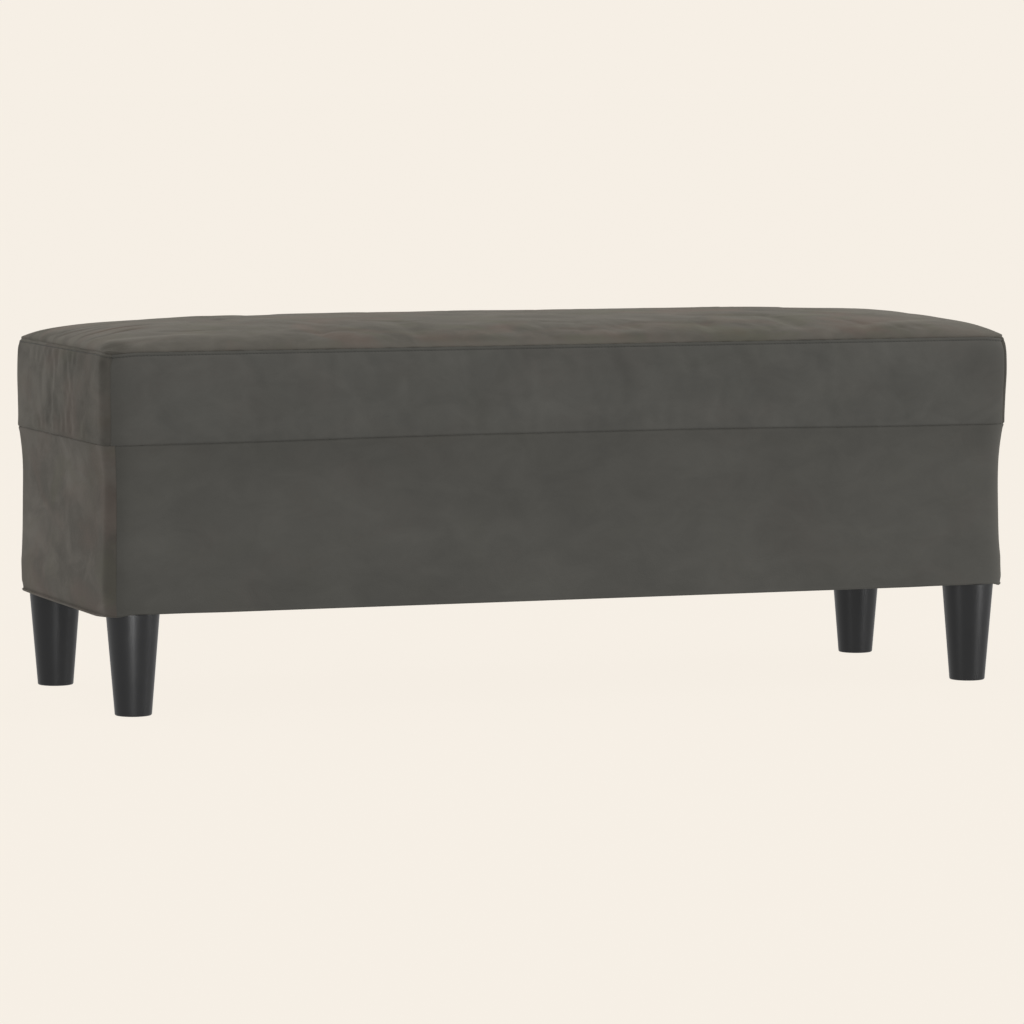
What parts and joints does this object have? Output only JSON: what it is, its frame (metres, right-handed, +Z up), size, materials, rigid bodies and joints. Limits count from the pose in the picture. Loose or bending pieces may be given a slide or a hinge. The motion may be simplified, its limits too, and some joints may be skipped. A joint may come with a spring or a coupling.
{
  "type": "bed bench",
  "caption": "Upholstered bed-end bench: crowned box cushion over a drawn-in velvet skirt, on round tapered black legs.",
  "frame": {"origin": "on the floor, under the middle of the seat", "axes": "+X along the bench's length, -Y the front, +Z up"},
  "size_m": [1.0076, 0.3576, 0.3972],
  "materials": {
    "velvet": "matte",
    "black_plastic": "satin",
    "pine": "matte",
    "plywood": "matte",
    "zinc_steel": "satin",
    "foam": "matte",
    "wadding": "matte",
    "black_cloth": "matte"
  },
  "bodies": {
    "root": {"leg_front_left": "black_plastic", "leg_front_right": "black_plastic", "leg_rear_left": "black_plastic", "leg_rear_right": "black_plastic", "leg_bolts": "zinc_steel", "tee_nuts": "zinc_steel", "bottom_rail_front": "pine", "bottom_rail_rear": "pine", "bottom_rail_left": "pine", "bottom_rail_right": "pine", "bottom_cross_rail": "pine", "rail_dowels": "pine", "post_front_left": "pine", "post_front_middle": "pine", "post_front_right": "pine", "post_rear_left": "pine", "post_rear_middle": "pine", "post_rear_right": "pine", "post_screws": "zinc_steel", "top_rail_front": "pine", "top_rail_rear": "pine", "top_rail_left": "pine", "top_rail_right": "pine", "seat_slat_1": "pine", "seat_slat_2": "pine", "seat_slat_3": "pine", "seat_slat_4": "pine", "seat_slat_5": "pine", "frame_screws": "zinc_steel", "seat_deck": "plywood", "deck_screws": "zinc_steel", "foam_pad": "foam", "wadding": "wadding", "top_panel": "velvet", "band_front": "velvet", "band_rear": "velvet", "band_left": "velvet", "band_right": "velvet", "skirt_front": "velvet", "skirt_rear": "velvet", "skirt_left": "velvet", "skirt_right": "velvet", "hem_staples": "zinc_steel", "dust_cover": "black_cloth", "dust_cover_staples": "zinc_steel"}
  },
  "joints": []
}
